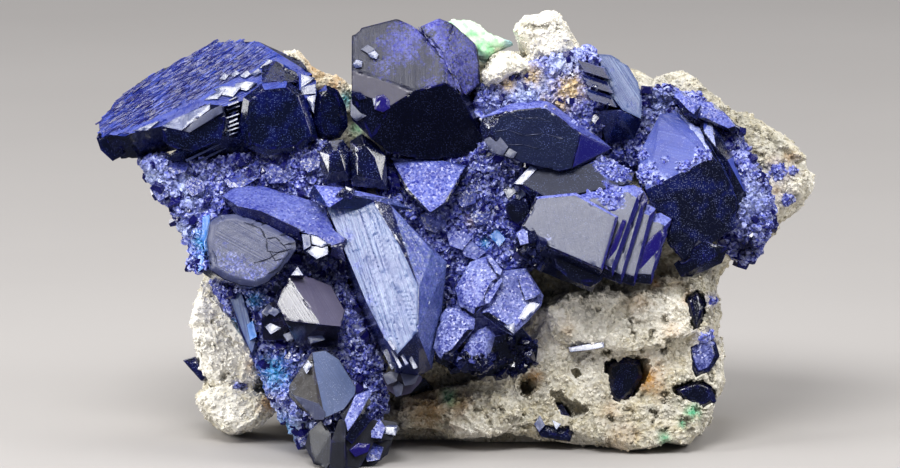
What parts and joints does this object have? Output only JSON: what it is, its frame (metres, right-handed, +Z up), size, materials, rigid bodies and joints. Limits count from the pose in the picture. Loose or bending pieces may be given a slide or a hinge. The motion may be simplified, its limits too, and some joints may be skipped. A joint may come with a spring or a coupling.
{
  "type": "azurite mineral specimen",
  "caption": "Cluster of deep blue bladed azurite crystals and sugary blue crust on a pale pitted matrix rock, with small pale green malachite, standing on its flat underside.",
  "frame": {"origin": "on the table under the middle of the specimen, half way across its width and its depth", "axes": "+Z up, +X to the right as the display face is seen, -Y out of the display face towards the viewer"},
  "size_m": [0.1434, 0.0762, 0.0858],
  "materials": {
    "azurite_crystal": "vitreous natural crystal faces",
    "azurite_druse": "sugary micro-crystals",
    "matrix_rock": "granular broken rock",
    "malachite": "powdery crust"
  },
  "bodies": {
    "root": {"stepped_blade": "azurite_crystal", "centre_blade": "azurite_crystal", "left_round_blade": "azurite_crystal", "lower_left_prism": "azurite_crystal", "bottom_prism": "azurite_crystal", "bottom_spears": "azurite_crystal", "glint_crystal": "azurite_crystal", "base_crystals": "azurite_crystal", "top_block": "azurite_crystal", "ledge_blade": "azurite_crystal", "steel_plate": "azurite_crystal", "right_block": "azurite_crystal", "slate_blade": "azurite_crystal", "upper_left_plate": "azurite_crystal", "edge_plate": "azurite_crystal", "right_foot_prism": "azurite_crystal", "inner_prisms": "azurite_crystal", "vug_crystal": "azurite_crystal", "side_pocket_crystal": "azurite_crystal", "right_edge_crystal": "azurite_crystal", "right_base_crystal": "azurite_crystal", "front_base_crystal": "azurite_crystal", "left_edge_crystal": "azurite_crystal", "long_slab": "azurite_druse", "centre_rosette": "azurite_druse", "centre_plate": "azurite_druse", "right_shoulder_crystals": "azurite_druse", "azurite_crust": "azurite_druse", "matrix": "matrix_rock", "malachite_patch": "malachite"}
  },
  "joints": []
}
